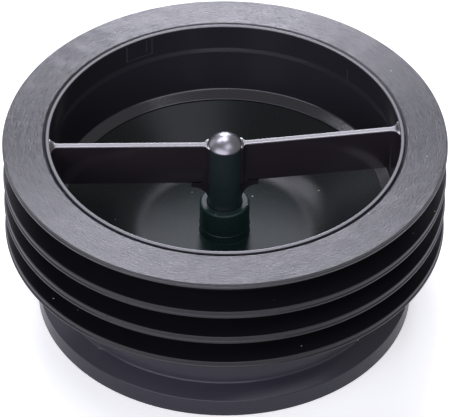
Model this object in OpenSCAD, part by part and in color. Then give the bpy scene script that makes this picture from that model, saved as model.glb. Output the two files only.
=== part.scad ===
// Membrane drain trap: a plastic frame with a straight crossbar, a rubber sleeve with three sealing fins
// round it, and a shallow silicone bowl that hangs on the frame's stem and closes on a seat from below.
// Millimetres, +Z up. The origin is the middle of the foot's underside, and the crossbar lies along X.

/* [Barrel] */
// Height of the frame, from the foot to the rim
frame_h = 50; // [44:0.5:70]
// Outer radius of the barrel where the sleeve sits
barrel_r = 43.9; // [41:0.1:60]
// Wall of the barrel between the rim band and the seat
barrel_wall = 1.5; // [1.2:0.1:2.5]
// Wall of the thin band at the rim
rim_wall = 1; // [0.8:0.1:1.2]
// Height of the thin band at the rim
rim_band_h = 7.8; // [5:0.1:10]
// Rounding of the rim's two edges
rim_round = 0.3; // [0.1:0.05:0.4]

/* [Seat] */
// Width of the seat, from the skirt's inside to the throat that the water falls through
seat_w = 2.5; // [2:0.1:4]
// Height of the throat, from the seat up to the flat land above it
throat_h = 3.5; // [2:0.1:5]
// Rounding of the throat's upper edge
throat_round = 0.5; // [0.2:0.1:0.8]
// Depth of the seat's underside below the rim
seat_depth = 20.6; // [19:0.1:23]
// Radius of the cove between the land and the barrel's wall
cove_r = 0.8; // [0.3:0.1:1.5]

/* [Skirt and foot] */
// Outer radius of the bare skirt below the sleeve
skirt_r = 43.3; // [40.5:0.1:59]
// Wall of the skirt
skirt_wall = 1.8; // [1.2:0.1:2]
// Outer radius of the foot
foot_r = 46.8; // [46:0.1:64]
// Wall of the foot
foot_wall = 1.8; // [1.2:0.1:2]
// Height of the foot's upright outer face
foot_h = 4.8; // [3:0.1:6]
// Height of the sloping shoulder between the foot and the skirt
shoulder_h = 2.7; // [1.5:0.1:4]
// Depth of the shallow panel in the front of the skirt
panel_depth = 0.5; // [0.3:0.1:0.7]
// Half of the angle that the panel spans
panel_half_angle = 49; // [20:1:60]
// Margin between the panel and the shoulder below it, and between the panel and the sleeve's ledge
panel_margin = 0.9; // [0.3:0.1:2]

/* [Crossbar and hub] */
// Thickness of the crossbar
bar_t = 1.65; // [1.2:0.05:3]
// Depth of the crossbar, top edge to bottom edge
bar_h = 11.6; // [8:0.1:12.5]
// Distance from the rim down to the bar's top at the wall
bar_end_drop = 0.4; // [0:0.1:2]
// Further drop of the bar's top from the wall to the hub
bar_dip = 2.4; // [0:0.1:3]
// Radius of the fillets between the bar and the wall
bar_wall_fillet = 1.8; // [1:0.1:4]
// Radius of the fillets between the bar and the hub
bar_hub_fillet = 1.8; // [0.4:0.1:3]
// Radius of the hub
hub_r = 4.6; // [3.5:0.1:6]
// Radius of the ball that the hub's domed top is a part of
dome_r = 6.3; // [6.1:0.1:12]
// Distance from the rim down to the top of the dome
dome_drop = 0.95; // [0:0.05:2]
// Height of the hub, from its lower face to the top of the dome
hub_h = 12.95; // [12.65:0.05:14.5]
// Reach of the gussets under the bar, from the axis
gusset_reach = 8.3; // [7.5:0.1:12]
// Depth of the gusset's upright end below the bar
gusset_lip = 1; // [0.5:0.1:2]

/* [Stem] */
// Radius of the stem that carries the membrane
stem_r = 4.2; // [3:0.1:4.2]
// Radius of the barb at the stem's lower end
barb_r = 5.4; // [4.9:0.1:6]
// Height of the barb
barb_h = 4.6; // [3:0.1:6]
// Radius of the barb's tip
barb_tip_r = 2.8; // [1.5:0.1:3.5]

/* [Sealing sleeve] */
// Outer radius of the collar and the fins, free
fin_r = 54.5; // [50:0.1:72]
// Thickness of the fins
fin_t = 1.9; // [1.2:0.1:2.5]
// Number of fins below the collar
fin_count = 3; // [1:1:3]
// Distance from one fin to the next
fin_pitch = 8.05; // [6:0.05:8.1]
// Distance from the rim down to the top of the first fin
first_fin_drop = 9.2; // [6:0.1:10]
// Rounding of the fins' edges
fin_round = 0.3; // [0.1:0.05:0.5]
// Fillet between the fins and the sleeve's tube
fin_root_r = 1.2; // [0.5:0.1:2]
// Wall of the sleeve's tube
sleeve_wall = 2.3; // [1.5:0.1:3]
// Thickness of the collar at its edge
collar_edge_t = 1.3; // [1:0.1:2]
// Further thickness of the collar at its root
collar_root_t = 1; // [0:0.1:2]
// Fall of the collar's top from its inner edge to its outer edge
collar_fall = 0.45; // [0:0.05:1]
// Distance from the rim down to the collar's inner edge
collar_drop = 0.1; // [0:0.05:0.5]
// Width of the open groove between the rim and the collar
rim_groove_w = 0.8; // [0.4:0.1:1.5]
// Depth of that groove
rim_groove_h = 1.1; // [0.5:0.1:2]

/* [Membrane] */
// Gap between the membrane's sealing lip and the skirt's inside
lip_gap = 0.7; // [0.4:0.1:1.2]
// Thickness of the sealing lip
lip_t = 0.7; // [0.4:0.1:1]
// Width of the lip's flat
lip_w = 1.6; // [1.4:0.1:2.5]
// Gap between the lip and the seat
seat_clearance = 0.2; // [0.1:0.05:0.5]
// Depth of the bowl, from the lip down to the floor
bowl_depth = 9.4; // [6:0.1:10]
// Radius of the bowl's flat floor
floor_r = 20; // [14:0.5:24]
// Radius of the bend from the floor to the rising flank, on its upper side
bend_r = 16; // [8:0.5:18]
// Thickness of the bowl's floor and flank
floor_t = 1.1; // [0.8:0.1:1.3]
// Outer radius of the membrane's collar on the stem
neck_r = 6.2; // [6.1:0.1:7.5]
// Height of the collar above the bowl's floor
neck_h = 9.2; // [7:0.1:10]
// Height of the bead round the collar above the floor
bead_lift = 2.4; // [1.5:0.1:4]
// Radius of the bead's half-round section
bead_r = 0.15; // [0.1:0.05:0.5]
// Gap between the membrane and the stem
stem_clearance = 0.05; // [0.02:0.01:0.2]

/* [Hidden] */
$fn = 96;
bite = 0.5;
sink = 0.03;

// barrel
rim_in_r = barrel_r - rim_wall;
bore_r = barrel_r - barrel_wall;
band_z = frame_h - rim_band_h;
band_step = bore_r < rim_in_r ? rim_in_r - bore_r : 0;

// seat
seat_z = frame_h - seat_depth;
seat_in_r = min(skirt_r, barrel_r) - skirt_wall;
throat_r = seat_in_r - seat_w;
land_z = seat_z + throat_h;

// sleeve
last_fin_z = frame_h - first_fin_drop - fin_t - (fin_count - 1) * fin_pitch;
sleeve_foot_z = last_fin_z;
tube_r = barrel_r + sleeve_wall;
collar_in_z = frame_h - collar_drop;
collar_out_z = collar_in_z - collar_fall;
groove_r = barrel_r + rim_groove_w;

// skirt and foot
skirt_in_r = skirt_r - skirt_wall;
foot_in_r = foot_r - foot_wall;
shoulder_top_z = foot_h + shoulder_h;
ledge_z = sleeve_foot_z - abs(barrel_r - skirt_r);
panel_z = shoulder_top_z + panel_margin;
panel_top_z = ledge_z - panel_margin;

// membrane, with a flank that leaves the bend's circle at a tangent
lip_top_z = seat_z - seat_clearance;
lip_r = seat_in_r - lip_gap;
floor_z = lip_top_z - bowl_depth;
flank_r = lip_r - lip_w;
bend_middle = [floor_r, floor_z + bend_r];
to_lip = [flank_r, lip_top_z] - bend_middle;
flank_slope = atan2(to_lip.y, to_lip.x) - acos(bend_r / norm(to_lip)) + 90;
neck_top_z = floor_z + neck_h;
neck_in_r = stem_r + stem_clearance;

// crossbar and hub
bar_end_z = frame_h - bar_end_drop;
bar_mid_z = bar_end_z - bar_dip;
dome_top_z = frame_h - dome_drop;
hub_z = dome_top_z - hub_h;
barb_top_z = floor_z - floor_t - seat_clearance;

// Half of the barrel's section, from the foot up the outside and down the inside
module barrel_section() {
    edge = [throat_r + throat_round, land_z - throat_round];
    difference() {
        polygon([
            [foot_r, 0],
            [foot_r, foot_h],
            [skirt_r, shoulder_top_z],
            [skirt_r, ledge_z],
            [barrel_r, sleeve_foot_z],
            [barrel_r, frame_h - rim_round],
            [barrel_r - rim_round, frame_h],
            [rim_in_r + rim_round, frame_h],
            [rim_in_r, frame_h - rim_round],
            [rim_in_r, band_z],
            [bore_r, band_z - band_step],
            [bore_r, land_z + cove_r],
            [bore_r - cove_r, land_z + cove_r],
            [bore_r - cove_r, land_z],
            [throat_r, land_z],
            [throat_r, seat_z],
            [seat_in_r, seat_z],
            [seat_in_r, sleeve_foot_z],
            [skirt_in_r, ledge_z],
            [skirt_in_r, shoulder_top_z],
            [foot_in_r, foot_h],
            [foot_in_r, 0],
        ]);
        translate([bore_r - cove_r, land_z + cove_r]) circle(cove_r);
        difference() {
            translate([edge.x - throat_round - bite, edge.y])
                square([throat_round + bite, throat_round + bite]);
            translate(edge) circle(throat_round);
        }
    }
}

// The shallow panel in the skirt's front, between the shoulder and the sleeve
module skirt_panel() {
    rotate([0, 0, -90 - panel_half_angle])
        rotate_extrude(angle = 2 * panel_half_angle)
            translate([skirt_r - panel_depth, panel_z])
                square([panel_depth + bite, panel_top_z - panel_z]);
}

// The crossbar's side view: its top runs straight from each wall down to the hub
module bar_outline(reach) {
    polygon([
        [-reach, bar_end_z],
        [0, bar_mid_z],
        [reach, bar_end_z],
        [reach, bar_end_z - bar_h],
        [0, bar_mid_z - bar_h],
        [-reach, bar_end_z - bar_h],
    ]);
}

// Plan of one fillet between the bar's face and the inside of the wall
module wall_fillet_plan() {
    y = bar_t / 2 + bar_wall_fillet;
    d = bore_r - bar_wall_fillet + sink;
    x = sqrt(d * d - y * y);
    reach = (bore_r + bite) / d;
    difference() {
        polygon([[x, 0], [x, y], [x * reach, y * reach], [bore_r + bite, 0]]);
        translate([x, y]) circle(bar_wall_fillet);
    }
}

// Plan of one fillet between the bar's face and the hub
module hub_fillet_plan() {
    y = bar_t / 2 + bar_hub_fillet;
    d = hub_r + bar_hub_fillet - sink;
    x = sqrt(d * d - y * y);
    difference() {
        polygon([[0, 0], [x, 0], [x, y]]);
        translate([x, y]) circle(bar_hub_fillet);
    }
}

// The bar's plan with its fillets, cut to the bar's side view and kept inside the barrel
module crossbar() {
    intersection() {
        rotate([90, 0, 0])
            linear_extrude(height = 4 * hub_r, center = true)
                bar_outline(barrel_r);
        linear_extrude(height = frame_h)
            intersection() {
                union() {
                    square([2 * barrel_r, bar_t], center = true);
                    for (side = [0, 1], face = [0, 1])
                        mirror([side, 0])
                            mirror([0, face]) {
                                wall_fillet_plan();
                                hub_fillet_plan();
                            }
                }
                circle(bore_r + barrel_wall / 2);
            }
    }
}

// The gussets under the bar, one outline for both sides, with a concave foot on the stem
module gussets() {
    arc_r = gusset_reach - stem_r;
    lip_z = bar_mid_z - bar_h - gusset_lip;
    rotate([90, 0, 0])
        linear_extrude(height = bar_t, center = true)
            difference() {
                translate([-gusset_reach, lip_z - arc_r])
                    square([2 * gusset_reach, arc_r + gusset_lip + bite]);
                for (side = [-1, 1])
                    translate([side * gusset_reach, lip_z - arc_r]) circle(arc_r);
            }
}

// The hub with its domed top, the stem below it and the barb at its end, turned as one
module hub_and_stem() {
    rotate_extrude()
        difference() {
            polygon([
                [0, barb_top_z - barb_h],
                [barb_tip_r, barb_top_z - barb_h],
                [barb_r, barb_top_z - barb_h / 4],
                [barb_r, barb_top_z],
                [stem_r, barb_top_z],
                [stem_r, hub_z],
                [hub_r, hub_z],
                [hub_r, dome_top_z - sink],
                [0, dome_top_z - sink],
            ]);
            translate([0, dome_top_z - dome_r])
                difference() {
                    square([dome_r + bite, dome_r + bite]);
                    circle(dome_r);
                }
        }
}

module frame() {
    color([0.13, 0.13, 0.15]) {
        difference() {
            rotate_extrude() barrel_section();
            skirt_panel();
        }
        crossbar();
        gussets();
        hub_and_stem();
    }
}

// One fin's section: a bar with a rounded edge, and fillets where it leaves the tube. The last fin ends
// the tube, so it has no fillet below it
module fin_section(lower_root_r) {
    flat = fin_r - fin_round - barrel_r;
    translate([barrel_r, 0]) square([flat, fin_t]);
    translate([barrel_r, fin_round]) square([flat + fin_round, fin_t - 2 * fin_round]);
    for (z = [fin_round, fin_t - fin_round])
        translate([fin_r - fin_round, z]) circle(fin_round);
    difference() {
        translate([tube_r - bite, -lower_root_r])
            square([fin_root_r + bite, fin_t + lower_root_r + fin_root_r]);
        translate([tube_r + fin_root_r, fin_t + fin_root_r]) circle(fin_root_r);
        if (lower_root_r > 0)
            translate([tube_r + lower_root_r, -lower_root_r]) circle(lower_root_r);
    }
}

// The tube's and the collar's section: the collar thins towards its rounded edge, and a groove is left
// open between it and the rim
module collar_and_tube_section() {
    root_z = collar_out_z - collar_edge_t - collar_root_t;
    polygon([
        [barrel_r, sleeve_foot_z],
        [barrel_r, collar_in_z - rim_groove_h],
        [groove_r, collar_in_z - fin_round],
        [groove_r + fin_round, collar_in_z],
        [fin_r - 2 * fin_round, collar_out_z],
        [fin_r, collar_out_z - fin_round],
        [fin_r, collar_out_z - collar_edge_t + fin_round],
        [fin_r - fin_round, collar_out_z - collar_edge_t],
        [tube_r + fin_root_r, root_z],
        [tube_r, root_z - fin_root_r],
        [tube_r, sleeve_foot_z],
    ]);
}

module sealing_sleeve() {
    color([0.1, 0.1, 0.11]) {
        rotate_extrude() collar_and_tube_section();
        for (i = [0:fin_count - 1])
            translate([0, 0, last_fin_z + i * fin_pitch])
                rotate_extrude() fin_section(i > 0 ? fin_root_r : 0);
    }
}

// The membrane's section: the collar on the stem, the flat floor, the bend, the straight flank and the
// flat lip. The polygon's corners at the bend are cut to the two circles that make it round
module membrane_section() {
    fillet = bead_lift / 2;
    leave = flank_slope - 90;
    under_r = bend_r + floor_t;
    corner_r = under_r / cos(flank_slope / 2);
    cut_r = corner_r + bite;
    under_lip_r = flank_r + floor_t * sin(flank_slope)
        + (floor_t * cos(flank_slope) - lip_t) / tan(flank_slope);
    difference() {
        polygon([
            [neck_in_r, floor_z - floor_t],
            [floor_r, floor_z - floor_t],
            bend_middle + corner_r * [sin(flank_slope / 2), -cos(flank_slope / 2)],
            [under_lip_r, lip_top_z - lip_t],
            [lip_r, lip_top_z - lip_t],
            [lip_r, lip_top_z],
            [flank_r, lip_top_z],
            bend_middle + bend_r * [cos(leave), sin(leave)],
            [floor_r, floor_z],
            [neck_r + fillet, floor_z],
            [neck_r, floor_z + fillet],
            [neck_r, neck_top_z - bead_r],
            [neck_r - bead_r, neck_top_z],
            [neck_in_r, neck_top_z],
        ]);
        translate(bend_middle) {
            difference() {
                circle(bend_r - sink);
                translate([-2 * bend_r, -bend_r - bite]) square([2 * bend_r, 2 * bend_r + 2 * bite]);
            }
            difference() {
                polygon([
                    [0, 0],
                    [0, -cut_r],
                    cut_r / cos(flank_slope / 2) * [sin(flank_slope / 2), -cos(flank_slope / 2)],
                    cut_r * [cos(leave), sin(leave)],
                ]);
                circle(under_r + sink);
            }
        }
    }
    translate([neck_r, floor_z + bead_lift]) circle(bead_r);
}

module membrane() {
    color([0.07, 0.09, 0.09]) rotate_extrude() membrane_section();
}

frame();
sealing_sleeve();
membrane();
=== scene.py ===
# %% [markdown]
# The part is a drain trap: a short plastic barrel with a crossbar, a rubber sleeve with thin lip fins
# round it, and a soft silicone bowl that hangs on a stem below the bar and works as a one-way valve.
# Its solids come from the CAD model, which is loaded first and never changed. Each piece made here
# stands for one of the CAD nodes, and all but the membrane's bowl ride on one of its bodies. Sizes are
# written in millimetres, as on a drawing, and MM turns them into metres where a mesh or a finish needs
# them.

# %% The CAD model
import bmesh
import bpy
import math
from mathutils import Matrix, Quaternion, Vector


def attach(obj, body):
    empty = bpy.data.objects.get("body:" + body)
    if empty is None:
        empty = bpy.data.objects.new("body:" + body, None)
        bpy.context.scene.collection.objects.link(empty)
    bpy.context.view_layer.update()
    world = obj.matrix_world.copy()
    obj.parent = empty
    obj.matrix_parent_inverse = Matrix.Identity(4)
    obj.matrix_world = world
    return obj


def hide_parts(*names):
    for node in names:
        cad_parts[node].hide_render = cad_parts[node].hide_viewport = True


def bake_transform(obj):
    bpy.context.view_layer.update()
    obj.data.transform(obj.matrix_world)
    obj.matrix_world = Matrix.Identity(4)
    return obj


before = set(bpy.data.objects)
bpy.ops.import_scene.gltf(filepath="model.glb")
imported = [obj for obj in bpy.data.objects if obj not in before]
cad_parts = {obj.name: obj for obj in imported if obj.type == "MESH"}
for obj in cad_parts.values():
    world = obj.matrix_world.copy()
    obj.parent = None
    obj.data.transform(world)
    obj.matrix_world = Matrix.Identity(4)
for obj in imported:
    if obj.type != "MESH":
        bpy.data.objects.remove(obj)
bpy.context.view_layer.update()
MM = 0.001

# %% [markdown]
# The camera stands in front of the trap and above it, as in the photograph: the rim is a wide
# ellipse and the skirt shows below the fins. A long lens keeps the top and the foot nearly the same
# width. The aim is a little below the rim's middle, so that the whole part fills the frame.

# %% Camera
RIM_MIDDLE = Vector((0, 0, 49.45 * MM))
CAMERA_AZIMUTH = math.radians(-5)
CAMERA_ELEVATION = math.radians(39.66)
CAMERA_DISTANCE = 1.0
CAMERA_LENS = 327.45
CAMERA_ROLL = math.radians(-0.32)
CAMERA_AIM_DOWN = math.radians(1.001)
CLIP_START = 0.05
CLIP_END = 20


def direction(azimuth, elevation):
    """The unit vector from the part towards a place round it; azimuth 0 is the front"""
    level = math.cos(elevation)
    return Vector((math.sin(azimuth) * level, -math.cos(azimuth) * level, math.sin(elevation)))


scene = bpy.context.scene
camera = bpy.data.objects.new("camera", bpy.data.cameras.new("camera"))
scene.collection.objects.link(camera)
scene.camera = camera
back = direction(CAMERA_AZIMUTH, CAMERA_ELEVATION)
camera.location = RIM_MIDDLE + back * CAMERA_DISTANCE
camera.rotation_mode = "QUATERNION"
camera.rotation_quaternion = (
    (-back).to_track_quat("-Z", "Y")
    @ Quaternion((0, 0, 1), -CAMERA_ROLL)
    @ Quaternion((1, 0, 0), -CAMERA_AIM_DOWN)
)
camera.data.lens = CAMERA_LENS
camera.data.clip_start = CLIP_START
camera.data.clip_end = CLIP_END
print("camera at", [round(v, 4) for v in camera.location])

# %% [markdown]
# The photograph's background is plain white, and yet the black plastic stays dark. A light from all
# sides would lift every dark surface, so the world has a strength of its own for each kind of ray,
# which the Light Path node tells apart. The camera sees it white, also through glass. Mirrored rays
# see a third of that, so that gloss shows the backdrop too, and as a light the world is dim.

# %% White backdrop
WORLD_LEVEL = 0.1
WORLD_SHINE = 0.35
WHITE = (1, 1, 1, 1)
# Where a Mix node keeps its sockets for numbers
MIX_FACTOR = 0
MIX_LOW = 2
MIX_HIGH = 3
scene.view_settings.view_transform = "Standard"


def put(tree, value, socket):
    """Links an output socket to an input, or sets the input to a number"""
    if isinstance(value, bpy.types.NodeSocket):
        tree.links.new(value, socket)
    else:
        socket.default_value = value


def value_mix(tree, low, high, factor):
    """The output of a Mix node that goes from one number to another with a factor"""
    mix = tree.nodes.new("ShaderNodeMix")
    mix.data_type = "FLOAT"
    put(tree, factor, mix.inputs[MIX_FACTOR])
    put(tree, low, mix.inputs[MIX_LOW])
    put(tree, high, mix.inputs[MIX_HIGH])
    return mix.outputs[0]


def by_ray(tree, others, levels):
    """A strength with its own level for each kind of ray in levels, and one for all others"""
    rays = tree.nodes.new("ShaderNodeLightPath").outputs
    strength = others
    for kind, level in levels:
        strength = value_mix(tree, strength, level, rays[kind])
    return strength


world = bpy.data.worlds.new("studio")
scene.world = world
world.use_nodes = True
background = world.node_tree.nodes["Background"]
background.inputs["Color"].default_value = WHITE
world_rays = (("Is Glossy Ray", WORLD_SHINE), ("Is Transmission Ray", 1.0), ("Is Camera Ray", 1.0))
world_strength = by_ray(world.node_tree, WORLD_LEVEL, world_rays)
put(world.node_tree, world_strength, background.inputs["Strength"])
print("the world is white for the camera, and", WORLD_LEVEL, "as a light")

# %% [markdown]
# The floor is a large sheet of pale paper, which takes the part's soft shadow. One square face is
# enough, because the white world goes on behind it, where a studio would need a curved backdrop. It
# shines a little for the camera, so that it meets the white without an edge, and less in reflections.

# %% Floor
FLOOR_HALF = 6.0
FLOOR_COLOUR = (0.86, 0.86, 0.87, 1)
FLOOR_LIFT = 0.5
FLOOR_SHINE = 0.25

floor_mesh = bpy.data.meshes.new("floor")
corners = [(x * FLOOR_HALF, y * FLOOR_HALF, 0) for x, y in ((-1, -1), (1, -1), (1, 1), (-1, 1))]
floor_mesh.from_pydata(corners, [], [(0, 1, 2, 3)])
floor = bpy.data.objects.new("floor", floor_mesh)
scene.collection.objects.link(floor)
paper = bpy.data.materials.new("paper")
paper.use_nodes = True
sheet = paper.node_tree.nodes["Principled BSDF"]
sheet.inputs["Base Color"].default_value = FLOOR_COLOUR
sheet.inputs["Roughness"].default_value = 1.0
sheet.inputs["Specular IOR Level"].default_value = 0.0
sheet.inputs["Emission Color"].default_value = WHITE
floor_rays = (("Is Glossy Ray", FLOOR_SHINE), ("Is Camera Ray", FLOOR_LIFT))
put(paper.node_tree, by_ray(paper.node_tree, 0.0, floor_rays), sheet.inputs["Emission Strength"])
floor_mesh.materials.append(paper)
print("the floor is", 2 * FLOOR_HALF, "m wide")

# %% [markdown]
# Black gloss shows its lamps more than its colour, so the lamps are placed for their reflections. Three
# narrow ones stand behind the part, one above the other. They draw the bright line along the crossbar
# and light the front and the back of the streaked collar, while its sides stay darker. A softbox
# behind on the left and a weak one beside it carry that shine round the collar, a wide one in front
# lights the skirt and the fins' edges, and one above gives the hub's cap its spot. The light that
# reaches a level surface is added up and printed: at 1, a colour renders as it is written.

# %% Lamps
LAMP_DISTANCE = 2.6
LAMP_COLOUR = (0.97, 0.96, 1.1)
LAMPS = (
    # name, azimuth, elevation, width and height in degrees as the part sees them, radiance
    ("back_low", 176, 14, 16, 20, 13.0),
    ("back_window", 176, 38, 15, 24, 3.4),
    ("back_high", 177, 60, 16, 18, 10.0),
    ("arc_softbox", -147, 54, 22, 16, 6.0),
    ("left_softbox", -128, 22, 30, 26, 0.8),
    ("front_softbox", -26, 32, 74, 40, 2.2),
    ("top_softbox", 40, 67, 34, 24, 2.0),
)


def soft_light(name, azimuth, elevation, width, height, radiance):
    """A rectangular lamp that faces the rim, sized by the angles that it fills"""
    lamp = bpy.data.lights.new(name, "AREA")
    lamp.shape = "RECTANGLE"
    lamp.size = 2 * LAMP_DISTANCE * math.tan(math.radians(width / 2))
    lamp.size_y = 2 * LAMP_DISTANCE * math.tan(math.radians(height / 2))
    lamp.energy = radiance * math.pi * lamp.size * lamp.size_y
    lamp.color = LAMP_COLOUR
    item = bpy.data.objects.new(name, lamp)
    scene.collection.objects.link(item)
    away = direction(math.radians(azimuth), math.radians(elevation))
    item.location = RIM_MIDDLE + away * LAMP_DISTANCE
    item.rotation_mode = "QUATERNION"
    item.rotation_quaternion = away.to_track_quat("Z", "Y")
    item.visible_camera = False
    return lamp


light_level = WORLD_LEVEL
for name, azimuth, elevation, width, height, radiance in LAMPS:
    lamp = soft_light(name, azimuth, elevation, width, height, radiance)
    share = lamp.size * lamp.size_y / LAMP_DISTANCE**2 * math.sin(math.radians(elevation)) / math.pi
    light_level += radiance * share
    print("lamp", name, "radiance", radiance)
print("light on a level surface, 1 is a colour as written:", round(light_level, 2))

# %% [markdown]
# An effect that several finishes use is a shader node group with named inputs, built once and placed
# in each material with its own values. It puts out only heights and masks, and the shader itself stays
# in the material. A small class keeps the building short: it makes the sockets, adds nodes and links
# them. Every group reads the object's own coordinates, so the pattern stays on the part as it moves.


# %% Helper for effect groups
class Group:
    """A shader node group that is filled node by node, with a place as its first input"""

    def __init__(self, name, inputs, outputs):
        self.tree = bpy.data.node_groups.new(name, "ShaderNodeTree")
        face = self.tree.interface
        face.new_socket(name="Place", in_out="INPUT", socket_type="NodeSocketVector")
        for label, value in inputs.items():
            socket = face.new_socket(name=label, in_out="INPUT", socket_type="NodeSocketFloat")
            socket.default_value = value
        for label in outputs:
            face.new_socket(name=label, in_out="OUTPUT", socket_type="NodeSocketFloat")
        self.given = self.tree.nodes.new("NodeGroupInput").outputs
        self.result = self.tree.nodes.new("NodeGroupOutput").inputs

    def add(self, kind, *values):
        """A new node, with its first inputs linked to outputs or set to numbers"""
        node = self.tree.nodes.new(kind)
        for value, socket in zip(values, node.inputs):
            put(self.tree, value, socket)
        return node

    def math(self, operation, *values):
        """The result of one Math node"""
        node = self.add("ShaderNodeMath", *values)
        node.operation = operation
        return node.outputs[0]

    def steps(self, value, low, high):
        """A smooth ramp from 0 at low to 1 at high"""
        node = self.add("ShaderNodeMapRange", value, low, high)
        node.interpolation_type = "SMOOTHSTEP"
        return node.outputs["Result"]

    def noise(self, place, scale, detail):
        """A noise value from 0 to 1 at a place, with features of about 1 / scale metres"""
        node = self.add("ShaderNodeTexNoise", place)
        put(self.tree, scale, node.inputs["Scale"])
        put(self.tree, detail, node.inputs["Detail"])
        return node.outputs["Fac"]

    def axis_distance(self):
        """How far the place lies from the part's upright axis"""
        spot = self.add("ShaderNodeSeparateXYZ", self.given["Place"]).outputs
        square_x = self.math("MULTIPLY", spot["X"], spot["X"])
        squares = self.math("MULTIPLY_ADD", spot["Y"], spot["Y"], square_x)
        return self.math("SQRT", squares)

    def looks_up(self, tilted, level):
        """1 where the surface looks straight up, falling to 0 where it is tilted"""
        normal = self.add("ShaderNodeNewGeometry").outputs["Normal"]
        upward = self.add("ShaderNodeSeparateXYZ", normal).outputs["Z"]
        return self.steps(upward, tilted, level)

    def give(self, **results):
        """Links the results to the group's outputs"""
        for label, value in results.items():
            put(self.tree, value, self.result[label])
        print("effect group", self.tree.name, "has", len(self.tree.nodes), "nodes")


print("effect groups read the object's own coordinates")

# %% [markdown]
# Grain is the faint unevenness of a moulded face, which bends a reflection a little. An image could
# hold it, but a noise needs no unwrapping and has no seams. There are two: a fine one, and wide soft
# waves that count for less. Each is multiplied by its own size, so that coarser grain is also deeper.

# %% Grain
FINE_DETAIL = 3.0
WAVE_DETAIL = 1.0
WAVE_PART = 0.25

grain = Group("grain", {"Size": 0.8 * MM, "Wave Size": 9 * MM}, ("Height", "Mask"))
grain_scale = grain.math("DIVIDE", 1.0, grain.given["Size"])
wave_scale = grain.math("DIVIDE", 1.0, grain.given["Wave Size"])
fine = grain.noise(grain.given["Place"], grain_scale, FINE_DETAIL)
waves = grain.noise(grain.given["Place"], wave_scale, WAVE_DETAIL)
fine_height = grain.math("MULTIPLY", fine, grain.given["Size"])
wave_height = grain.math("MULTIPLY", waves, grain.given["Wave Size"])
grain.give(Height=grain.math("MULTIPLY_ADD", wave_height, WAVE_PART, fine_height), Mask=fine)

# %% [markdown]
# The collar's top is streaked with fine rings round the axis, as on a face that was trimmed on a
# lathe. The rings spread each reflection towards and away from the axis. A Wave texture would make
# them all alike, so they are a noise that changes fast with the distance from the axis, and slowly
# along the ring. Each streak then fades out after a few millimetres.

# %% Turned streaks
ALONG_SCALE = 320.0
STREAK_DETAIL = 2.0

streaks = Group("turned_streaks", {"Pitch": 0.2 * MM, "Spread": 0.35}, ("Height", "Mask"))
rings = streaks.math("DIVIDE", streaks.axis_distance(), streaks.given["Pitch"])
spot = streaks.add("ShaderNodeSeparateXYZ", streaks.given["Place"]).outputs
along_x = streaks.math("MULTIPLY", spot["X"], ALONG_SCALE)
along_y = streaks.math("MULTIPLY", spot["Y"], ALONG_SCALE)
ring_place = streaks.add("ShaderNodeCombineXYZ", rings, along_x, along_y).outputs[0]
ring_noise = streaks.noise(ring_place, 1.0, STREAK_DETAIL)
ring_height = streaks.math("MULTIPLY", ring_noise, streaks.given["Pitch"])
streaks.give(Height=streaks.math("MULTIPLY", ring_height, streaks.given["Spread"]), Mask=ring_noise)

# %% [markdown]
# Dust lies as pale specks on faces that look up. As mesh, the specks would be many thousands of faces,
# so they are a mask. A Voronoi texture scatters one point in each cell, and the cell's random colour
# decides whether a speck lies there and how large it is.

# %% Dust
DUST_TILTED = 0.2
DUST_LEVEL = 0.7
DUST_COLOUR = (0.55, 0.53, 0.5)

dust = Group("dust", {"Spacing": 4 * MM, "Speck": 0.12 * MM, "Share": 0.4}, ("Mask",))
cells = dust.add("ShaderNodeTexVoronoi", dust.given["Place"])
put(dust.tree, dust.math("DIVIDE", 1.0, dust.given["Spacing"]), cells.inputs["Scale"])
speck_distance = dust.math("MULTIPLY", cells.outputs["Distance"], dust.given["Spacing"])
chance = dust.add("ShaderNodeSeparateColor", cells.outputs["Color"]).outputs
speck_size = dust.math("MULTIPLY", chance["Green"], dust.given["Speck"])
inside = dust.math("LESS_THAN", speck_distance, speck_size)
chosen = dust.math("LESS_THAN", chance["Red"], dust.given["Share"])
speck = dust.math("MULTIPLY", inside, chosen)
dust.give(Mask=dust.math("MULTIPLY", speck, dust.looks_up(DUST_TILTED, DUST_LEVEL)))

# %% [markdown]
# Two masks say where on the part a second colour goes. A second material on some of the faces would
# do it too, but it would end in a hard line. The first mask is 1 on faces above a height that look up,
# which are the collar's top and the hub's cap. The second is 0 near the axis and 1 further out,
# because the membrane's green cast is strongest round the stem.

# %% Masks by place
open_top = Group("open_top", {"Low": 0.0, "High": 0.0, "Tilted": 0.0, "Level": 1.0}, ("Mask",))
spot = open_top.add("ShaderNodeSeparateXYZ", open_top.given["Place"]).outputs
high_up = open_top.steps(spot["Z"], open_top.given["Low"], open_top.given["High"])
facing = open_top.looks_up(open_top.given["Tilted"], open_top.given["Level"])
open_top.give(Mask=open_top.math("MULTIPLY", high_up, facing))

from_axis = Group("from_axis", {"Near": 0.0, "Far": 0.0}, ("Mask",))
far_out = from_axis.steps(from_axis.axis_distance(), from_axis.given["Near"], from_axis.given["Far"])
from_axis.give(Mask=far_out)

# %% [markdown]
# All finishes are close to black, and their gloss tells them apart. Each is a Principled shader with
# plain numbers on its own sockets, into which the effect groups are placed. The class below holds what
# all of them need: to place a group, to bump, to tint, and to let a number change over the surface.
# Most moulded faces take the grain, and most take some dust, so each of these has a short call.

# %% Helper for finishes
PLASTIC_INDEX = 1.5
RUBBER_INDEX = 1.5
SILICONE_INDEX = 1.41
# Where a Mix node keeps its sockets for colours
MIX_COLOUR_LOW = 6
MIX_COLOUR_HIGH = 7
MIX_COLOUR_RESULT = 2


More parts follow.
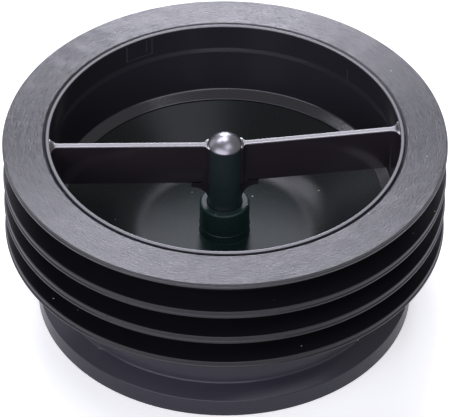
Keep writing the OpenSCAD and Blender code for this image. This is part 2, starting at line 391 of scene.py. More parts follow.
class Finish:
    """A material with a Principled shader, into which the effect groups are placed"""

    def __init__(self, name, colour, roughness, index, specular=0.5):
        self.material = bpy.data.materials.new(name)
        self.material.use_nodes = True
        self.tree = self.material.node_tree
        self.shader = self.tree.nodes["Principled BSDF"]
        self.base = (*colour, 1)
        self.shader.inputs["Base Color"].default_value = self.base
        self.shader.inputs["Roughness"].default_value = roughness
        self.shader.inputs["IOR"].default_value = index
        self.shader.inputs["Specular IOR Level"].default_value = specular
        self.place = self.tree.nodes.new("ShaderNodeTexCoord").outputs["Object"]
        self.normal = None
        print("finish", name)

    def effect(self, group, **values):
        """The outputs of an effect group, placed in this material with its own values"""
        node = self.tree.nodes.new("ShaderNodeGroup")
        node.node_tree = group.tree
        put(self.tree, self.place, node.inputs["Place"])
        for label, value in values.items():
            put(self.tree, value, node.inputs[label.replace("_", " ")])
        return node.outputs

    def bump(self, height, distance):
        """Bends the normal with a height, on top of the bumps that are already there"""
        node = self.tree.nodes.new("ShaderNodeBump")
        node.inputs["Strength"].default_value = 1.0
        node.inputs["Distance"].default_value = distance
        put(self.tree, height, node.inputs["Height"])
        if self.normal is not None:
            put(self.tree, self.normal, node.inputs["Normal"])
        self.normal = node.outputs["Normal"]
        put(self.tree, self.normal, self.shader.inputs["Normal"])

    def tint(self, mask, colour):
        """Mixes a second colour into the base colour where the mask is 1"""
        mix = self.tree.nodes.new("ShaderNodeMix")
        mix.data_type = "RGBA"
        put(self.tree, mask, mix.inputs[MIX_FACTOR])
        put(self.tree, self.base, mix.inputs[MIX_COLOUR_LOW])
        put(self.tree, (*colour, 1), mix.inputs[MIX_COLOUR_HIGH])
        self.base = mix.outputs[MIX_COLOUR_RESULT]
        put(self.tree, self.base, self.shader.inputs["Base Color"])

    def vary(self, label, mask, low, high):
        """Lets one number of the shader run from low to high with a mask"""
        put(self.tree, value_mix(self.tree, low, high, mask), self.shader.inputs[label])

    def grained(self, size, wave, depth, roughness=None):
        """Adds the grain's bump, and lets the roughness run between two numbers with it"""
        effect = self.effect(grain, Size=size * MM, Wave_Size=wave * MM)
        self.bump(effect["Height"], depth)
        if roughness:
            self.vary("Roughness", effect["Mask"], *roughness)

    def dusty(self, spacing, speck, share):
        """Scatters specks of dust on the faces that look up"""
        effect = self.effect(dust, Spacing=spacing * MM, Speck=speck * MM, Share=share)
        self.tint(effect["Mask"], DUST_COLOUR)


print("refractive indices:", PLASTIC_INDEX, RUBBER_INDEX, SILICONE_INDEX)

# %% [markdown]
# The frame is one hard plastic, straight from a mould, but its faces differ. The bore is the glossiest
# and almost black. The outside has a duller skin, and its paler, bluer colour is a painted reflection
# of the pale floor. The crossbar is very smooth, which the coat gives, and its pink tint is a painted
# reflection. The stem's green tint is a painted reflection of the silicone round it, and the hub's
# cap mirrors like polished metal, so there a mask by height raises Metallic to 1. The few lines that
# the mould left on the bore are matt.

# %% Plastic finishes
CAP_LOW_Z = 46.6
CAP_HIGH_Z = 47.0
CAP_COLOUR = (0.27, 0.262, 0.29)

plastic = Finish("moulded_plastic", (0.025, 0.024, 0.03), roughness=0.12, index=PLASTIC_INDEX, specular=0.7)
plastic.grained(size=0.6, wave=12, depth=0.02, roughness=(0.08, 0.2))
plastic.dusty(spacing=6, speck=0.16, share=0.25)

# Its paler, bluer colour is a painted reflection of the pale floor.
outside = Finish("outer_plastic_painted_light", (0.034, 0.0325, 0.045), roughness=0.24, index=PLASTIC_INDEX, specular=0.4)
outside.grained(size=0.5, wave=12, depth=0.02, roughness=(0.18, 0.3))
outside.dusty(spacing=5, speck=0.18, share=0.3)

# Its pink tint is a painted reflection.
bar_gloss = Finish("bar_plastic_painted_reflection", (0.02, 0.0155, 0.0205), roughness=0.14, index=PLASTIC_INDEX, specular=1.0)
bar_gloss.shader.inputs["Coat Weight"].default_value = 0.3
bar_gloss.shader.inputs["Coat Roughness"].default_value = 0.1
bar_gloss.grained(size=0.6, wave=12, depth=0.008, roughness=(0.1, 0.2))

# Its green tint is a painted reflection of the silicone round the stem.
satin = Finish("hub_plastic", (0.0175, 0.03, 0.032), roughness=0.2, index=PLASTIC_INDEX, specular=1.0)
satin.grained(size=0.6, wave=12, depth=0.008, roughness=(0.26, 0.38))
cap = satin.effect(open_top, Low=CAP_LOW_Z * MM, High=CAP_HIGH_Z * MM, Tilted=0.1, Level=0.4)
satin.tint(cap["Mask"], CAP_COLOUR)
satin.vary("Metallic", cap["Mask"], low=0.0, high=1.0)

line_finish = Finish("mould_line_plastic", (0.045, 0.044, 0.052), roughness=0.45, index=PLASTIC_INDEX)
line_finish.grained(size=0.4, wave=4, depth=0.05, roughness=(0.35, 0.55))

# %% [markdown]
# The sleeve is one satin rubber. Its collar has the turned streaks and the most dust, because it is the
# face that is handled and looks up, and its top is a little paler, which is painted sheen. The fins
# below are plain and duller.

# %% Rubber finishes
RUBBER_COLOUR = (0.008, 0.0078, 0.0105)
COLLAR_TOP_SHEEN_COLOUR = (0.014, 0.0135, 0.018)
COLLAR_LOW_Z = 48.5
COLLAR_HIGH_Z = 49.2

rubber = Finish("sleeve_rubber", RUBBER_COLOUR, roughness=0.3, index=RUBBER_INDEX, specular=0.75)
streaked = rubber.effect(streaks, Pitch=0.1 * MM, Spread=1.5)
rubber.bump(streaked["Height"], distance=0.5)
rubber.grained(size=0.3, wave=6, depth=0.15)
rubber.vary("Roughness", streaked["Mask"], low=0.22, high=0.38)
# The paler top is painted sheen on the collar's upward face.
collar_top_sheen = rubber.effect(open_top, Low=COLLAR_LOW_Z * MM, High=COLLAR_HIGH_Z * MM, Tilted=0.6, Level=0.95)
rubber.tint(collar_top_sheen["Mask"], COLLAR_TOP_SHEEN_COLOUR)
rubber.dusty(spacing=2.8, speck=0.2, share=0.5)

fin_rubber = Finish("fin_rubber", RUBBER_COLOUR, roughness=0.32, index=RUBBER_INDEX, specular=0.42)
fin_rubber.grained(size=0.3, wave=6, depth=0.05, roughness=(0.26, 0.4))
fin_rubber.dusty(spacing=3.5, speck=0.2, share=0.45)

# %% [markdown]
# The membrane is soft silicone. A green cast shows round the stem and in the collar and fades outwards
# to a neutral black, so the second mask by place mixes the two colours. The collar's copy of the
# silicone is paler than the bowl's, which is painted light against the shade round the stem.

# %% Silicone finishes
CAST_NEAR = 9
CAST_FAR = 26
BOWL_COLOUR = (0.0085, 0.022, 0.02)
BOWL_EDGE_COLOUR = (0.0085, 0.0105, 0.0115)
NECK_LIT_COLOUR = (0.016, 0.036, 0.034)

silicone = Finish("membrane_silicone", BOWL_COLOUR, roughness=0.24, index=SILICONE_INDEX, specular=0.3)
silicone.grained(size=0.5, wave=14, depth=0.02, roughness=(0.2, 0.32))
outwards = silicone.effect(from_axis, Near=CAST_NEAR * MM, Far=CAST_FAR * MM)
silicone.tint(outwards["Mask"], BOWL_EDGE_COLOUR)
silicone.dusty(spacing=4, speck=0.26, share=0.4)

# Its paler colour is painted light, which makes up for the shade round the stem.
neck_silicone = Finish("collar_silicone_painted_light", NECK_LIT_COLOUR, roughness=0.24, index=SILICONE_INDEX, specular=0.4)
neck_silicone.grained(size=0.5, wave=14, depth=0.02, roughness=(0.2, 0.32))
neck_silicone.dusty(spacing=1.6, speck=0.2, share=0.6)

# %% [markdown]
# Nearly every piece of the trap is turned: half of its section goes once round the axis. The section
# is drawn as corners of radius and height, and each corner gets its own small rounding, because the
# bright thin lines in the photograph are the roundings of edges. A Bevel modifier would round them
# all alike. A point is added close to each rounding, which keeps the shading of flat faces flat.

# %% Rounded outlines
ARC_STEP = 18
SUPPORT = 0.12
SUPPORT_ROOM = 4 * SUPPORT
LEAST_STEPS = 2


def rounded(corners, closed=True):
    """Turns corners of (radius, height, rounding) into outline points with arcs and support points"""
    count = len(corners)
    points = []
    for i, (r, z, fillet) in enumerate(corners):
        here = Vector((r, z))
        if fillet == 0 or (not closed and i in (0, count - 1)):
            points.append(here)
            continue
        before = Vector(corners[i - 1][:2]) - here
        after = Vector(corners[(i + 1) % count][:2]) - here
        turn = math.pi - before.angle(after)
        tangent = fillet * math.tan(turn / 2)
        start = here + before.normalized() * tangent
        end = here + after.normalized() * tangent
        halfway = (before.normalized() + after.normalized()).normalized()
        middle = here + halfway * fillet / math.cos(turn / 2)
        if before.length - tangent > SUPPORT_ROOM:
            points.append(start + before.normalized() * SUPPORT)
        steps = max(LEAST_STEPS, math.ceil(math.degrees(turn) / ARC_STEP))
        for k in range(steps + 1):
            first = math.sin(turn * (1 - k / steps))
            last = math.sin(turn * k / steps)
            spoke = ((start - middle) * first + (end - middle) * last) / math.sin(turn)
            points.append(middle + spoke)
        if after.length - tangent > SUPPORT_ROOM:
            points.append(end + after.normalized() * SUPPORT)
    return points


print("arcs have a point every", ARC_STEP, "degrees or less")

# %% [markdown]
# A Screw modifier could turn a section, but a Geometry Nodes tree takes its sizes by name and can also
# repeat what it made, so one tree turns them all. Curve to Mesh carries the section round a circle,
# and Merge by Distance closes the poles where it reaches the axis. The result is set on the points of
# a short upright line, once for most pieces and three times for the fins. Realize Instances makes the
# copies real, because an export drops instances.

# %% Turning tree
MERGE_DISTANCE = 1e-6


def tree_node(tree, kind, **inputs):
    """A node of a Geometry Nodes tree with its inputs linked or set"""
    node = tree.nodes.new(kind)
    for label, value in inputs.items():
        put(tree, value, node.inputs[label.replace("_", " ")])
    return node


def new_tree(name, inputs, result):
    """An empty Geometry Nodes tree, its inputs' outputs, their identifiers and its result's socket"""
    tree = bpy.data.node_groups.new(name, "GeometryNodeTree")
    identifiers = {}
    for label, kind in inputs.items():
        socket = tree.interface.new_socket(name=label, in_out="INPUT", socket_type="NodeSocket" + kind)
        identifiers[label] = socket.identifier
    tree.interface.new_socket(name=result, in_out="OUTPUT", socket_type="NodeSocketGeometry")
    given = tree.nodes.new("NodeGroupInput").outputs
    leave = tree.nodes.new("NodeGroupOutput").inputs[result]
    return tree, given, identifiers, leave


turned_sizes = {"Spine Radius": "Float", "Steps": "Int", "Copies": "Int", "Pitch": "Float"}
turned_inputs = {"Outline": "Geometry", **turned_sizes, "Finish": "Material"}
turned_tree, given, turned_keys, turned_result = new_tree("turned", turned_inputs, "Turned")
section = tree_node(turned_tree, "GeometryNodeMeshToCurve", Mesh=given["Outline"])
spine = tree_node(
    turned_tree,
    "GeometryNodeCurvePrimitiveCircle",
    Resolution=given["Steps"],
    Radius=given["Spine Radius"],
)
swept = tree_node(
    turned_tree,
    "GeometryNodeCurveToMesh",
    Curve=spine.outputs["Curve"],
    Profile_Curve=section.outputs["Curve"],
)
poles = tree_node(
    turned_tree,
    "GeometryNodeMergeByDistance",
    Geometry=swept.outputs["Mesh"],
    Distance=MERGE_DISTANCE,
)
lift = tree_node(turned_tree, "ShaderNodeCombineXYZ", Z=given["Pitch"])
places = tree_node(
    turned_tree,
    "GeometryNodeMeshLine",
    Count=given["Copies"],
    Offset=lift.outputs[0],
)
copies = tree_node(
    turned_tree,
    "GeometryNodeInstanceOnPoints",
    Points=places.outputs["Mesh"],
    Instance=poles.outputs["Geometry"],
)
real = tree_node(turned_tree, "GeometryNodeRealizeInstances", Geometry=copies.outputs["Instances"])
finished = tree_node(
    turned_tree,
    "GeometryNodeSetMaterial",
    Geometry=real.outputs["Geometry"],
    Material=given["Finish"],
)
put(turned_tree, finished.outputs["Geometry"], turned_result)
print("turning tree inputs:", list(turned_keys))

# %% [markdown]
# A tree works as a modifier. Its inputs are set by their identifiers, and then the evaluated object is
# turned into a plain mesh, so that no modifier is left on the finished piece. The mesh is cleaned
# last: its doubles are merged, and its faces are turned outwards and shaded smooth.

# %% Helpers for pieces
def clean_mesh(mesh):
    """Merges doubles, turns the faces outwards and shades them smooth"""
    shell = bmesh.new()
    shell.from_mesh(mesh)
    bmesh.ops.remove_doubles(shell, verts=shell.verts, dist=MERGE_DISTANCE)
    bmesh.ops.recalc_face_normals(shell, faces=shell.faces)
    for face in shell.faces:
        face.smooth = True
    shell.to_mesh(mesh)
    shell.free()


def grown(name, seed_mesh, tree, settings):
    """The clean mesh that a Geometry Nodes tree makes from a seed mesh"""
    maker = bpy.data.objects.new(name + "_maker", seed_mesh)
    scene.collection.objects.link(maker)
    modifier = maker.modifiers.new(tree.name, "NODES")
    modifier.node_group = tree
    for identifier, value in settings.items():
        modifier[identifier] = value
    graph = bpy.context.evaluated_depsgraph_get()
    mesh = bpy.data.meshes.new_from_object(maker.evaluated_get(graph), depsgraph=graph)
    bpy.data.objects.remove(maker)
    clean_mesh(mesh)
    mesh.name = name
    return mesh


def new_piece(name, mesh):
    """An object for a finished mesh, at the origin"""
    piece = bpy.data.objects.new(name, mesh)
    scene.collection.objects.link(piece)
    print(name, "has", len(mesh.polygons), "faces")
    return piece


print("helpers for pieces are ready, doubles merge within", MERGE_DISTANCE, "m")

# %% [markdown]
# A turned piece needs its outline as a mesh of points and edges in a plane. The circle has one fixed
# radius and every point is measured from it, so that the same circle serves narrow and wide pieces.
# Smooth shading would blur the corners of a section, so edges sharper than an angle are kept sharp.

# %% Turned pieces
TURN_STEPS = 288
SPINE_RADIUS = 30.0
SHARP_ANGLE = math.radians(32)


def turned(name, points, finish, closed=True, copies=1, pitch=0.0):
    """A piece made by carrying an outline once round the axis"""
    outline = bpy.data.meshes.new(name + "_outline")
    spots = [((p.x - SPINE_RADIUS) * MM, -p.y * MM, 0) for p in points]
    count = len(spots)
    edges = [(i, (i + 1) % count) for i in range(count if closed else count - 1)]
    outline.from_pydata(spots, edges, [])
    values = {
        "Spine Radius": SPINE_RADIUS * MM,
        "Steps": TURN_STEPS,
        "Copies": copies,
        "Pitch": pitch * MM,
        "Finish": finish.material,
    }
    settings = {turned_keys[label]: value for label, value in values.items()}
    mesh = grown(name, outline, turned_tree, settings)
    mesh.set_sharp_from_angle(angle=SHARP_ANGLE)
    return new_piece(name, mesh)


print("edges sharper than", round(math.degrees(SHARP_ANGLE)), "degrees stay sharp")

# %% [markdown]
# The barrel is the frame's outer wall, from the foot to the rim. A thin band forms the rim. Below it
# the bore tapers a little, and a sloping ledge leads down to the throat, under which the membrane
# closes. All of this is round, so the whole wall is one closed section that is turned, drawn from the
# foot up the outside and down the inside.

# %% Barrel wall
FRAME_H = 50.0
BARREL_R = 43.9
RIM_IN_R = 42.9
BORE_R = 42.4
BAND_Z = 42.2
BAND_SLOPE = 1.2
LEDGE_R = 41.7
LEDGE_Z = 31.0
THROAT_R = 39.0
THROAT_H = 0.25
SEAT_Z = 29.4
SKIRT_R = 43.3
SKIRT_IN_R = 41.5
SKIRT_TOP_Z = 22.2
SHOULDER_Z = 7.5
FIN_END_Z = 22.8
FOOT_R = 46.8
FOOT_IN_R = 45.0
FOOT_H = 4.8
PANEL_TOP_Z = 21.3
PANEL_EDGE = 0.05

barrel_corners = [
    # radius, height, rounding
    (FOOT_R, 0, 0.3),
    (FOOT_R, FOOT_H, 0.3),
    (SKIRT_R, SHOULDER_Z, 0.5),
    (SKIRT_R, PANEL_TOP_Z - PANEL_EDGE, 0),
    (SKIRT_R, PANEL_TOP_Z + PANEL_EDGE, 0),
    (SKIRT_R, SKIRT_TOP_Z, 0),
    (BARREL_R, FIN_END_Z, 0),
    (BARREL_R, FRAME_H, 0.15),
    (RIM_IN_R, FRAME_H, 0.2),
    (RIM_IN_R, BAND_Z + BAND_SLOPE, 0.6),
    (BORE_R, BAND_Z, 0.6),
    (LEDGE_R, LEDGE_Z, 0.5),
    (THROAT_R, SEAT_Z + THROAT_H, 0.2),
    (THROAT_R, SEAT_Z, 0.05),
    (SKIRT_IN_R, SEAT_Z, 0.3),
    (SKIRT_IN_R, SHOULDER_Z, 0.8),
    (FOOT_IN_R, FOOT_H, 0.8),
    (FOOT_IN_R, 0, 0.3),
]
barrel_wall = turned("barrel_wall", rounded(barrel_corners), plastic)

# %% [markdown]
# The skirt's front has a shallow panel, which a turned wall can't have. A Boolean could cut it, but
# would leave long thin faces, so the points of the outer face that lie in the panel are pushed towards
# the axis. The lower part of the outside also gets the second finish, whose paler colour is a painted
# reflection of the floor: faces that look outwards and lie below the sleeve take its slot.

# %% Panel and outside
PANEL_DEPTH = 0.5
PANEL_LOW_Z = SHOULDER_Z - 0.3
PANEL_HALF_ANGLE = math.radians(49)
# How far inside the skirt's radius a point still counts as its outer face
SKIN = 0.1
OUTSIDE_SLOT = 1

pressed = 0
for vertex in barrel_wall.data.vertices:
    x, y, z = vertex.co
    in_band = PANEL_LOW_Z * MM < z < PANEL_TOP_Z * MM
    on_outside = math.hypot(x, y) > (SKIRT_R - SKIN) * MM
    in_front = abs(math.atan2(x, -y)) < PANEL_HALF_ANGLE
    if in_band and on_outside and in_front:
        vertex.co.xy *= (SKIRT_R - PANEL_DEPTH) / SKIRT_R
        pressed += 1
barrel_wall.data.set_sharp_from_angle(angle=SHARP_ANGLE)
barrel_wall.data.materials.append(outside.material)
outer_faces = 0
for face in barrel_wall.data.polygons:
    middle = face.center
    outward = face.normal.x * middle.x + face.normal.y * middle.y > 0
    below_sleeve = middle.z < FIN_END_Z * MM
    on_outside = math.hypot(middle.x, middle.y) > (SKIRT_R - 2 * PANEL_DEPTH) * MM
    if outward and below_sleeve and on_outside:
        face.material_index = OUTSIDE_SLOT
        outer_faces += 1
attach(barrel_wall, "barrel")
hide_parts("frame")
print("panel points pressed in:", pressed, "outer faces:", outer_faces)

# %% [markdown]
# Three pieces are not turned: the mould lines, the crossbar and the gussets. Boxes with modifiers
# could not follow the wall or swell into fillets, so these are lofted. That means that sections of
# points stand in a row, faces join each to the next, and the first and last section close the ends.
# One helper does this for all three.

# %% Lofted pieces
def lofted(name, bodies, finish, sharp_angle):
    """A piece of one or more bodies, each a row of sections that are joined and closed at both ends"""
    shell = bmesh.new()
    for sections in bodies:
        rings = [[shell.verts.new([v * MM for v in spot]) for spot in section] for section in sections]
        for first, second in zip(rings, rings[1:]):
            count = len(first)
            for i in range(count):
                j = (i + 1) % count
                shell.faces.new((first[i], first[j], second[j], second[i]))
        shell.faces.new(rings[0])
        shell.faces.new(rings[-1])
    mesh = bpy.data.meshes.new(name)
    shell.to_mesh(mesh)
    shell.free()
    clean_mesh(mesh)
    mesh.set_sharp_from_angle(angle=sharp_angle)
    mesh.materials.append(finish.material)
    return new_piece(name, mesh)


print("lofted pieces are joined section by section")

# %% [markdown]
# Thin raised lines are left on the inner wall where plates of the mould met: a small frame behind on
# the left and a short upright line behind on the right. A bump could fake them, but has no edge of its
# own. So each is a strip of the wall, a twentieth of a millimetre proud, made of sections that follow
# the wall's curve.

# %% Mould lines
LINE_PROUD = 0.05
LINE_SEAT = 0.05
LINE_STEP = 1.0
MOULD_LINES = (
    # angle from, angle to, height from, height to
    (209.9, 210.5, 44.6, 49.4),
    (200.3, 200.8, 44.6, 49.4),
    (202.4, 202.7, 45.6, 49.4),
    (200.3, 210.5, 44.5, 44.7),
    (129.3, 129.7, 43.6, 46.6),
)


def wall_strip(first, last, low, high):
    """Sections of a strip on the inner wall, between two angles and two heights"""
    proud_r = RIM_IN_R - LINE_PROUD
    seat_r = RIM_IN_R + LINE_SEAT
    steps = max(1, round((last - first) / LINE_STEP))
    sections = []
    for k in range(steps + 1):
        around = math.radians(first + (last - first) * k / steps)
        corners = ((proud_r, low), (seat_r, low), (seat_r, high), (proud_r, high))
        sections.append([(r * math.sin(around), -r * math.cos(around), z) for r, z in corners])
    return sections


strips = [wall_strip(*row) for row in MOULD_LINES]
mould_lines = lofted("mould_lines", strips, line_finish, SHARP_ANGLE)
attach(mould_lines, "barrel")
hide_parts("frame")

# %% [markdown]
# The hub in the middle carries the membrane. Its domed cap stands above the bar's middle, its stem
# reaches down through the membrane's collar, and a barb below keeps the collar on. A sphere set on
# cylinders would show its seams, so all of it is one open outline whose two ends lie on the axis, where
# the tree merges the points to a closed pole. The cap is part of a sphere with a softer arc at its
# edge, so its points are worked out and not just rounded.

# %% Hub and stem
HUB_R = 4.35
HUB_Z = 36.1
CAP_R = 5.2
CAP_TOP_Z = 49.6
CAP_EDGE = 0.9
CAP_STEPS = 16
CAP_EDGE_STEPS = 4
CAP_SUPPORT = 0.3
STEM_R = 4.2
BARB_R = 5.4
BARB_TIP_R = 2.8
BARB_TOP_Z = 18.5
BARB_H = 4.6
BARB_BAND = BARB_H / 4

edge_turn = math.asin((HUB_R - CAP_EDGE) / (CAP_R - CAP_EDGE))
edge_z = CAP_TOP_Z - CAP_R + (CAP_R - CAP_EDGE) * math.cos(edge_turn)
edge_turns = [(math.pi / 2 - edge_turn) * k / CAP_EDGE_STEPS for k in range(CAP_EDGE_STEPS)]
cap_turns = [edge_turn * k / CAP_STEPS for k in range(CAP_STEPS, -1, -1)]
cap_points = [
    Vector((HUB_R - CAP_EDGE * (1 - math.cos(a)), edge_z + CAP_EDGE * math.sin(a))) for a in edge_turns
]
cap_points += [
    Vector((CAP_R * math.sin(a), CAP_TOP_Z - CAP_R * (1 - math.cos(a)))) for a in cap_turns
]
hub_corners = [
    # radius, height, rounding
    (0, BARB_TOP_Z - BARB_H, 0),
    (BARB_TIP_R, BARB_TOP_Z - BARB_H, 0.3),
    (BARB_R, BARB_TOP_Z - BARB_BAND, 0.3),
    (BARB_R, BARB_TOP_Z, 0.2),
    (STEM_R, BARB_TOP_Z, 0.1),
    (STEM_R, HUB_Z, 0.1),
    (HUB_R, HUB_Z, 0.15),
    (HUB_R, edge_z - CAP_SUPPORT, 0),
]
hub = turned("hub", rounded(hub_corners, closed=False) + cap_points, satin, closed=False)
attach(hub, "barrel")
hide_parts("frame")
print("the cap meets the hub's side at", round(edge_z, 2), "mm")

# %% [markdown]
# The crossbar is a thin plate on edge that dips a little towards the hub. It is built station by
# station along its length: at each station half the thickness grows near the walls and the hub, which
# gives the fillets, and the two top edges are rounded, because they catch the light from behind.

# %% Crossbar
BAR_T = 1.65
BAR_H = 11.6
BAR_END_Z = 49.6
BAR_MID_Z = 47.2
BAR_EDGE = 0.22
BAR_EDGE_TURNS = (math.radians(30), math.radians(60))
WALL_FILLET = 1.8
HUB_FILLET = 1.2
BAR_STATIONS = 90
BAR_REACH = 43.1
BAR_SHARP_ANGLE = math.radians(50)
half_bar = BAR_T / 2


def growth(distance, fillet):
    """How far a fillet stands out from the bar's face at a distance from its foot"""
    part = min(max(fillet - distance, 0), fillet)
    return fillet - math.sqrt(fillet**2 - part**2)


def bar_section(x):
    """The bar's section at a place along it, as points round it"""
    half = half_bar + growth(BORE_R - abs(x), WALL_FILLET) + growth(abs(x) - HUB_R, HUB_FILLET)
    top = BAR_MID_Z + (BAR_END_Z - BAR_MID_Z) * abs(x) / BARREL_R
    side = [(half, top - BAR_H), (half, top - BAR_EDGE)]
    for turn in BAR_EDGE_TURNS:
        side.append((half - BAR_EDGE * (1 - math.cos(turn)), top - BAR_EDGE * (1 - math.sin(turn))))
    side.append((half - BAR_EDGE, top))
    return [(x, y, z) for y, z in side] + [(x, -y, z) for y, z in reversed(side)]


stations = [bar_section(k / BAR_STATIONS * BAR_REACH) for k in range(-BAR_STATIONS, BAR_STATIONS + 1)]
crossbar = lofted("crossbar", [stations], bar_gloss, BAR_SHARP_ANGLE)
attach(crossbar, "barrel")
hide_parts("frame")

# %% [markdown]
# Two small gussets brace the bar's underside against the stem. Their outline has a short upright end
# and then a concave foot that runs down to the stem. One half is drawn, mirrored in its points, and
# given the bar's thickness.

# %% Gussets
GUSSET_REACH = 8.3
GUSSET_LIP = 1.0
GUSSET_SUNK = 0.6
GUSSET_STEPS = 8
GUSSET_SHARP_ANGLE = math.radians(35)

bar_under_z = BAR_MID_Z - BAR_H
lip_z = bar_under_z - GUSSET_LIP
foot_r = GUSSET_REACH - STEM_R
half_outline = [(GUSSET_REACH, bar_under_z + GUSSET_SUNK)]
for k in range(GUSSET_STEPS + 1):
    turn = math.pi / 2 * k / GUSSET_STEPS
    half_outline.append((GUSSET_REACH - foot_r * math.sin(turn), lip_z - foot_r * (1 - math.cos(turn))))
outline = half_outline + [(-x, z) for x, z in reversed(half_outline)]
plate = [[(x, y, z) for x, z in outline] for y in (-half_bar, half_bar)]
gussets = lofted("gussets", [plate], bar_gloss, GUSSET_SHARP_ANGLE)
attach(gussets, "barrel")
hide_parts("frame")

# %% [markdown]
# The sleeve is one rubber moulding. One outline could draw it all, but as two turned pieces its fins
# can share a section. The first piece is the tube with the wide flat collar at its top. The collar
# thins towards its edge and falls a little outwards, and a narrow groove is left open between it and
# the rim. Its edge has a fine step, where the two halves of the mould met and some rubber was pressed
# out.

# %% Sleeve tube and collar
TUBE_R = 46.2
FIN_R = 54.45
COLLAR_IN_Z = 49.9
COLLAR_OUT_Z = 49.45
COLLAR_EDGE_T = 1.3
COLLAR_ROOT_T = 1.0
GROOVE_R = 44.7
GROOVE_DEPTH = 0.5
FLASH_OUT = 0.2
FLASH_TOP = 0.75

collar_under_z = COLLAR_OUT_Z - COLLAR_EDGE_T
trimmed_r = FIN_R - FLASH_OUT
tube_corners = [
    # radius, height, rounding
    (BARREL_R, FIN_END_Z, 0),
    (BARREL_R, COLLAR_IN_Z - GROOVE_DEPTH, 0),
    (GROOVE_R, COLLAR_IN_Z, 0.25),
    (trimmed_r, COLLAR_OUT_Z, 0.2),
    (trimmed_r, collar_under_z + FLASH_TOP, 0.1),
    (FIN_R, collar_under_z + FLASH_TOP - FLASH_OUT, 0.12),
    (FIN_R, collar_under_z, 0.15),
    (TUBE_R, collar_under_z - COLLAR_ROOT_T, 1.2),
    (TUBE_R, FIN_END_Z, 0),
]
sleeve_tube = turned("sleeve_tube", rounded(tube_corners), rubber)

# %% [markdown]
# The three lip fins are one section that the turning tree repeats along the axis. A fillet joins each
# to the tube, and its root reaches a little into the tube, so that no gap shows.

# %% Fins
FIN_T = 1.9
FIN_COUNT = 3
FIN_PITCH = 8.05
FIN_ROOT = 1.2
FIN_SUNK = 0.6
# The fillet stays a little smaller than the root, so that its end lies on the tube
ROOT_ROUND = 0.98 * FIN_ROOT

fin_corners = [
    # radius, height above the fin's underside, rounding
    (TUBE_R - FIN_SUNK, -FIN_ROOT, 0),
    (TUBE_R, -FIN_ROOT, 0),
    (TUBE_R, 0, ROOT_ROUND),
    (FIN_R, 0, 0.15),
    (FIN_R, FLASH_TOP - FLASH_OUT, 0.12),
    (trimmed_r, FLASH_TOP, 0.1),
    (trimmed_r, FIN_T, 0.25),
    (TUBE_R, FIN_T, ROOT_ROUND),
    (TUBE_R, FIN_T + FIN_ROOT, 0),
    (TUBE_R - FIN_SUNK, FIN_T + FIN_ROOT, 0),
]
fin_points = [Vector((p.x, p.y + FIN_END_Z)) for p in rounded(fin_corners)]
sleeve_fins = turned("sleeve_fins", fin_points, fin_rubber, copies=FIN_COUNT, pitch=FIN_PITCH)

# %% [markdown]
# A few small beads of rubber are left on the fins' edges, where it was pressed between the halves of
# the mould. A second Geometry Nodes tree sets a little sphere on each place and gives it a size of its
# own. The seed is fixed, so that the sizes are the same each time.

# %% Flash nibs
NIB_R = 0.22
NIB_SEED = 4
NIB_SMALLEST = 0.6
NIB_LARGEST = 1.2
NIB_SUNK = 0.08
NIB_ROUNDS = 2
NIBS = (
    # angle round the axis from the front, fin counted from below, height above the fin's underside
    (-8, 1, 0.3),
    (-36, 1, 1.5),
    (-30, 2, 0.4),
    (-47, 0, 0.6),
    (-62, 1, 0.3),
    (24, 1, 0.4),
    (48, 0, 0.4),
    (118, 1, 0.5),
    (165, 0, 0.4),
    (-128, 2, 0.5),
)
# Where a Random Value node keeps its sockets for numbers
RANDOM_LOW = 2
RANDOM_HIGH = 3
RANDOM_RESULT = 1

nib_inputs = {"Places": "Geometry", "Nib Radius": "Float", "Finish": "Material"}
nib_tree, given, nib_keys, nib_result = new_tree("nibs", nib_inputs, "Nibs")
bead = tree_node(
    nib_tree,
    "GeometryNodeMeshIcoSphere",
    Radius=given["Nib Radius"],
    Subdivisions=NIB_ROUNDS,
)
sizes = tree_node(nib_tree, "FunctionNodeRandomValue", Seed=NIB_SEED)
put(nib_tree, NIB_SMALLEST, sizes.inputs[RANDOM_LOW])
put(nib_tree, NIB_LARGEST, sizes.inputs[RANDOM_HIGH])
spread = tree_node(
    nib_tree,
    "GeometryNodeInstanceOnPoints",
    Points=given["Places"],
    Instance=bead.outputs["Mesh"],
    Scale=sizes.outputs[RANDOM_RESULT],
)
real = tree_node(nib_tree, "GeometryNodeRealizeInstances", Geometry=spread.outputs["Instances"])
finished = tree_node(
    nib_tree,
    "GeometryNodeSetMaterial",
    Geometry=real.outputs["Geometry"],
    Material=given["Finish"],
)
put(nib_tree, finished.outputs["Geometry"], nib_result)

nib_spots = []
for angle, fin, height in NIBS:
    around = math.radians(angle)
    r = (FIN_R - NIB_SUNK) * MM
    z = (FIN_END_Z + fin * FIN_PITCH + height) * MM
    nib_spots.append((r * math.sin(around), -r * math.cos(around), z))
nib_places = bpy.data.meshes.new("nib_places")
nib_places.from_pydata(nib_spots, [], [])
nib_settings = {nib_keys["Nib Radius"]: NIB_R * MM, nib_keys["Finish"]: fin_rubber.material}
nibs = new_piece("flash_nibs", grown("flash_nibs", nib_places, nib_tree, nib_settings))
for piece in (sleeve_tube, sleeve_fins, nibs):
    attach(piece, "barrel")
    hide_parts("sealing_sleeve")
print("flash nibs:", len(NIBS))

# %% [markdown]
# The membrane is one silicone moulding, but only its bowl moves: the lip drops when water comes, while
# the collar stays on the stem. So it is made as two pieces. The collar rides on the barrel. It is a
# short tube with a small bead round it and a soft upper rim.

# %% Membrane collar
FLOOR_Z = 19.8
FLOOR_T = 1.1
NECK_R = 6.2
NECK_IN_R = 4.25
NECK_TOP_Z = 29.0
NECK_FOOT = 0.3
NECK_SUNK = 1.0
BEAD_Z = 22.2
BEAD_R = 0.15

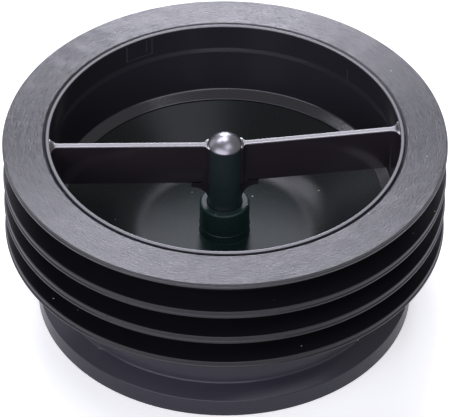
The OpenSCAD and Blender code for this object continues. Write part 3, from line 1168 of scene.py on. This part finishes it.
neck_corners = [
    # radius, height, rounding
    (NECK_IN_R, FLOOR_Z - NECK_SUNK, 0),
    (NECK_R + NECK_FOOT, FLOOR_Z - NECK_SUNK, 0),
    (NECK_R + NECK_FOOT, FLOOR_Z - NECK_FOOT, 0),
    (NECK_R, FLOOR_Z + NECK_FOOT, 0.4),
    (NECK_R, BEAD_Z - BEAD_R, 0),
    (NECK_R + BEAD_R, BEAD_Z, 0.08),
    (NECK_R, BEAD_Z + BEAD_R, 0),
    (NECK_R, NECK_TOP_Z, 0.6),
    (NECK_IN_R, NECK_TOP_Z, 0.3),
]
neck = turned("membrane_collar", rounded(neck_corners), neck_silicone)
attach(neck, "barrel")
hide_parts("membrane")

# %% [markdown]
# The bowl has a flat floor, a wide bend and a straight flank that rises to a thin lip under the seat.
# The flank touches the bend's arc, so its slope follows from where the lip ends, as the tangent from a
# point to a circle. The flank is cut into short pieces. The bowl bends when it opens, but here it is
# not bent, and it rides on no body.

# %% Membrane bowl
LIP_R = 40.8
LIP_Z = 29.2
LIP_T = 0.7
FLANK_R = 39.2
FLOOR_R = 20.0
FLOOR_IN_R = 5.4
BEND_R = 16.0
BEND_STEPS = 14
FLANK_STEPS = 6

reach = Vector((FLANK_R - FLOOR_R, LIP_Z - FLOOR_Z - BEND_R))
flank_slope = math.atan2(reach.y, reach.x) - math.acos(BEND_R / reach.length) + math.pi / 2
under_lip_r = (
    FLANK_R
    + FLOOR_T * math.sin(flank_slope)
    + (FLOOR_T * math.cos(flank_slope) - LIP_T) / math.tan(flank_slope)
)
turns = [flank_slope * k / BEND_STEPS for k in range(BEND_STEPS + 1)]
under_r = BEND_R + FLOOR_T
upper = [Vector((FLOOR_R + BEND_R * math.sin(a), FLOOR_Z + BEND_R * (1 - math.cos(a)))) for a in turns]
lower = [Vector((FLOOR_R + under_r * math.sin(a), FLOOR_Z + BEND_R - under_r * math.cos(a))) for a in turns]
upper_end = Vector((FLANK_R, LIP_Z))
lower_end = Vector((under_lip_r, LIP_Z - LIP_T))
shares = [k / FLANK_STEPS for k in range(1, FLANK_STEPS + 1)]
upper += [upper[-1].lerp(upper_end, share) for share in shares]
lower += [lower[-1].lerp(lower_end, share) for share in shares]
floor_points = [Vector((r, FLOOR_Z)) for r in (FLOOR_R / 2, FLOOR_IN_R)]
under_points = [Vector((r, FLOOR_Z - FLOOR_T)) for r in (FLOOR_IN_R, FLOOR_R / 2)]
lip_points = [Vector((LIP_R, LIP_Z - LIP_T)), Vector((LIP_R, LIP_Z))]
bowl_points = under_points + lower + lip_points + upper[::-1] + floor_points
bowl = turned("membrane_bowl", bowl_points, silicone)
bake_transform(bowl)
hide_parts("membrane")
print("the bowl's flank rises at", round(math.degrees(flank_slope), 1), "degrees")
